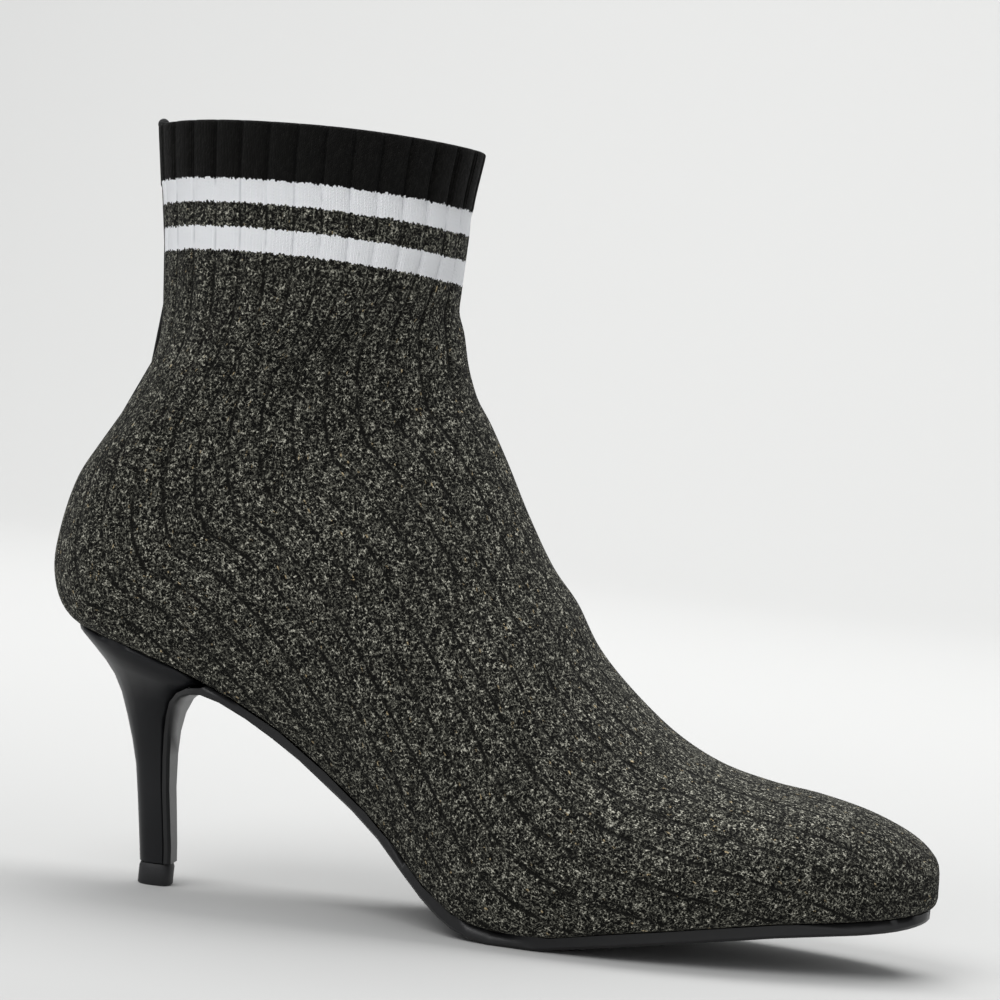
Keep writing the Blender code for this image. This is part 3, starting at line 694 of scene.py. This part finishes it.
def relief(knit, rib, drop, k):
    """How far the skin moves out: ribs on the leg, rounded rim at the collar, step of the cuff."""
    nearest = np.abs(rib - np.round(rib))
    seam = (rib < 0.5) | (rib > 2 * knit.ribs - 0.5)
    channel = np.where(seam, 0.0, 1 - soft(0.0, 0.15, nearest))
    crown = np.sin(np.pi * np.clip(nearest, 0.0, 0.5)) * np.where(seam, 0.0, 1.0)
    bands = knit.cuff + 2 * knit.stripe + knit.space
    leg = 1 - soft(bands, 2.4 * bands, drop)
    foot = soft(*RIB_ROWS, k)
    band = 1 - soft(knit.cuff - 0.001, knit.cuff + 0.003, drop)
    ribbing = (0.20 + 0.25 * leg + 0.55 * band) * foot
    rim = 1 - np.sqrt(1 - (1 - np.clip(drop / RIM_HEIGHT, 0.0, 1.0)) ** 2)
    step = CUFF_STEP * (1 - soft(knit.cuff - CUFF_SOFTNESS, knit.cuff + CUFF_SOFTNESS, drop))
    return ribbing * (knit.crown * crown - knit.channel * channel) - RIM_DEPTH * rim + step


def knit_grid(knit):
    """Places and the two maps of the knit on a grid of rows and columns."""
    shares = rib_shares(knit)
    rows = even_rows(GRID_ROWS)
    last = rows[-1]
    rows = np.concatenate([rows[:-1], [last - 0.05, last - 0.02, last]])
    skin = np.array([ring(k, shares) for k in rows])
    steps = np.linalg.norm(np.diff(skin, axis=0), axis=2)
    travelled = np.concatenate([np.zeros((1, skin.shape[1])), np.cumsum(steps, axis=0)])
    share = np.concatenate([shares, shares[-2::-1]])
    second = np.arange(skin.shape[1]) >= len(shares)
    drop = (travelled[-1] - travelled) / (1 + BAND_SPREAD * share ** 2)
    seat = int(np.searchsorted(rows, SEAT_ROW + 1.0))
    along_edge = (travelled[seat, 0] - travelled[:, 0]) / travelled[seat, 0]
    low_rib = knit.foot_ribs * np.clip(along_edge, 0.0, 1.0)[:, None]
    rib = low_rib + (knit.ribs - low_rib) * share
    rib = np.where(second, 2 * knit.ribs - rib, rib)
    foot = 1 - soft(*FOOT_ROWS, rows)[:, None] + 0 * share
    leg_rib = np.where(second, 2 * knit.ribs - knit.ribs * share, knit.ribs * share)
    push = relief(knit, leg_rib[None, :], drop, rows[:, None])
    around = np.gradient(skin, axis=1)
    along = np.gradient(skin, axis=0)
    outward = np.cross(along, around)
    outward /= np.maximum(np.linalg.norm(outward, axis=2, keepdims=True), 1e-12)
    ends = [0, -1]
    closed = rows > SEAT_ROW + 1.0
    mean = outward[:, ends].sum(axis=1)
    mean /= np.maximum(np.linalg.norm(mean, axis=1, keepdims=True), 1e-12)
    outward[:, 0] = np.where(closed[:, None], mean, outward[:, 0])
    outward[:, -1] = np.where(closed[:, None], mean, outward[:, -1])
    quiet = soft(0.0, 2.0, rows)[:, None]
    places = skin + outward * (push * quiet)[:, :, None]
    maps = {
        "stitches": np.stack([rib * knit.wales, travelled / knit.course], axis=2),
        "bands": np.stack([drop, foot], axis=2),
    }
    return places, maps


class BOOT_OT_knit_upper(bpy.types.Operator):
    """Knit the upper: a ribbed sock with bands at the collar and a lining inside"""

    bl_idname = "boot.knit_upper"
    bl_label = "Knit Upper"

    def execute(self, context):
        knit = context.scene.boot_knit
        places, maps = knit_grid(knit)
        rows, columns = places.shape[:2]
        bm = bmesh.new()
        bmesh.ops.create_grid(bm, x_segments=columns - 1, y_segments=rows - 1, size=1.0)
        layers = {name: bm.loops.layers.uv.new(name) for name in maps}
        spot = {}
        for vert in bm.verts:
            column = round((vert.co.x + 1) / 2 * (columns - 1))
            row = round((vert.co.y + 1) / 2 * (rows - 1))
            spot[vert] = (row, column)
        for face in bm.faces:
            for loop in face.loops:
                for name, layer in layers.items():
                    loop[layer].uv = maps[name][spot[loop.vert]]
        for vert, where in spot.items():
            vert.co = places[where]
        bmesh.ops.remove_doubles(bm, verts=bm.verts, dist=1e-6)
        bmesh.ops.dissolve_degenerate(bm, edges=bm.edges, dist=1e-7)
        bmesh.ops.recalc_face_normals(bm, faces=bm.faces)
        materials = [knit_material(knit), lining_material(context.scene.boot_trim)]
        upper = show("knit_upper", bm, materials)
        wall = upper.modifiers.new("wall", "SOLIDIFY")
        wall.thickness = knit.wall
        wall.offset = -1.0
        wall.use_even_offset = True
        wall.material_offset = 1
        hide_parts("upper")
        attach(upper, "root")
        return {"FINISHED"}


def smooth_copy(node, name, material, crease=38.0):
    """Copy of a CAD node with its loose triangles merged and its round faces shaded smooth."""
    bm = bmesh.new()
    bm.from_mesh(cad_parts[node].data)
    bmesh.ops.remove_doubles(bm, verts=bm.verts, dist=1e-6)
    flat = math.radians(1.0)
    bmesh.ops.dissolve_limit(bm, angle_limit=flat, verts=bm.verts, edges=bm.edges)
    obj = show(name, bm, [material])
    obj.data.set_sharp_from_angle(angle=math.radians(crease))
    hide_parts(node)
    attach(obj, "root")


class BOOT_OT_outsole(bpy.types.Operator):
    """Make the outsole with its flap down the breast of the heel"""

    bl_idname = "boot.outsole"
    bl_label = "Outsole"

    def execute(self, context):
        smooth_copy("outsole", "sole_unit", sole_material(context.scene.boot_trim))
        return {"FINISHED"}


class BOOT_OT_heel(bpy.types.Operator):
    """Make the slim heel with its satin cover"""

    bl_idname = "boot.heel"
    bl_label = "Heel"

    def execute(self, context):
        smooth_copy("heel", "heel_stem", heel_material(context.scene.boot_trim), 50.0)
        return {"FINISHED"}


class BOOT_OT_top_piece(bpy.types.Operator):
    """Make the rubber tip of the heel"""

    bl_idname = "boot.top_piece"
    bl_label = "Top Piece"

    def execute(self, context):
        smooth_copy("top_piece", "heel_tip", tip_material(context.scene.boot_trim), 50.0)
        return {"FINISHED"}


class BOOT_OT_insole(bpy.types.Operator):
    """Make the covered insole"""

    bl_idname = "boot.insole"
    bl_label = "Insole"

    def execute(self, context):
        smooth_copy("insole", "sock_insole", sock_material(context.scene.boot_trim))
        return {"FINISHED"}


class BOOT_OT_back_tape(bpy.types.Operator):
    """Make the woven tape over the back seam"""

    bl_idname = "boot.back_tape"
    bl_label = "Back Tape"

    def execute(self, context):
        material = tape_material(context.scene.boot_trim)
        smooth_copy("back_tape", "seam_tape", material, 60.0)
        bm = bmesh.new()
        bmesh.ops.create_uvsphere(bm, u_segments=24, v_segments=14, radius=TAPE_KNOT)
        bmesh.ops.translate(bm, verts=bm.verts, vec=TAPE_END)
        knot = show("tape_knot", bm, [material])
        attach(knot, "root")
        return {"FINISHED"}


def soft_light(name, place, aim, size, power):
    """Square area light that looks at a point."""
    data = bpy.data.lights.new(name, "AREA")
    data.size = size
    data.energy = power
    obj = bpy.data.objects.new(name, data)
    bpy.context.scene.collection.objects.link(obj)
    obj.location = place
    obj.rotation_euler = (Vector(aim) - Vector(place)).to_track_quat("-Z", "Y").to_euler()


def sweep_floor(colour):
    """Floor that curves up into the backdrop behind the boot."""
    bm = bmesh.new()
    front, flat, radius, top, half = -3.0, 1.6, 1.2, 3.6, 4.0
    profile = [(front, 0.0), (flat, 0.0)]
    for i in range(1, 17):
        turn = math.pi / 2 * i / 16
        profile.append((flat + radius * math.sin(turn), radius * (1 - math.cos(turn))))
    profile.append((flat + radius, top))
    verts = [bm.verts.new((-half, y, z)) for y, z in profile]
    edges = [bm.edges.new(pair) for pair in zip(verts, verts[1:])]
    made = bmesh.ops.extrude_edge_only(bm, edges=edges)
    moved = [item for item in made["geom"] if isinstance(item, bmesh.types.BMVert)]
    bmesh.ops.translate(bm, verts=moved, vec=(2 * half, 0.0, 0.0))
    bmesh.ops.recalc_face_normals(bm, faces=bm.faces)
    graph = Graph("backdrop", roughness=0.95)
    graph.feed("Base Color", graph.mix(graph.noise(1.5), colour, [0.985 * c for c in colour]))
    floor = show("studio_floor", bm, [graph.material])


class BOOT_OT_studio(bpy.types.Operator):
    """Set up the pale floor, the soft lights and the camera"""

    bl_idname = "boot.studio"
    bl_label = "Studio"

    def execute(self, context):
        studio = context.scene.boot_studio
        sweep_floor(studio.floor)
        for light in LIGHTS:
            soft_light(*light)
        world = bpy.data.worlds.new("studio")
        world.use_nodes = True
        sky = world.node_tree.nodes["Background"]
        sky.inputs["Color"].default_value = SKY_COLOUR
        sky.inputs["Strength"].default_value = SKY_STRENGTH
        context.scene.world = world
        camera = bpy.data.objects.new("camera", bpy.data.cameras.new("camera"))
        context.scene.collection.objects.link(camera)
        look = (Vector(studio.aim) - Vector(studio.eye)).to_track_quat("-Z", "Y").to_matrix()
        turned = look @ Matrix.Rotation(studio.roll, 3, "Z")
        camera.matrix_world = Matrix.Translation(studio.eye) @ turned.to_4x4()
        camera.data.lens = studio.lens
        camera.data.sensor_width = 36.0
        camera.data.clip_start = 0.01
        context.scene.camera = camera
        context.scene.view_settings.view_transform = "Standard"
        return {"FINISHED"}


OPERATORS = (
    BOOT_OT_knit_upper,
    BOOT_OT_outsole,
    BOOT_OT_heel,
    BOOT_OT_top_piece,
    BOOT_OT_insole,
    BOOT_OT_back_tape,
    BOOT_OT_studio,
)


class BOOT_PT_looks(bpy.types.Panel):
    """Sidebar panel with the settings and the steps"""

    bl_label = "Sweater Boot"
    bl_idname = "BOOT_PT_looks"
    bl_space_type = "VIEW_3D"
    bl_region_type = "UI"
    bl_category = "Boot"

    def draw(self, context):
        for name, kind in SETTINGS.items():
            box = self.layout.box()
            for prop in kind.__annotations__:
                box.prop(getattr(context.scene, name), prop)
        for operator in OPERATORS:
            self.layout.operator(operator.bl_idname)


def register():
    for kind in (*SETTINGS.values(), *OPERATORS, BOOT_PT_looks):
        bpy.utils.register_class(kind)
    for name, kind in SETTINGS.items():
        setattr(bpy.types.Scene, name, PointerProperty(type=kind))


def unregister():
    for name in SETTINGS:
        delattr(bpy.types.Scene, name)
    for kind in reversed((*SETTINGS.values(), *OPERATORS, BOOT_PT_looks)):
        bpy.utils.unregister_class(kind)


def main():
    register()
    for operator in OPERATORS:
        group, name = operator.bl_idname.split(".")
        getattr(getattr(bpy.ops, group), name)()


if __name__ == "__main__":
    main()
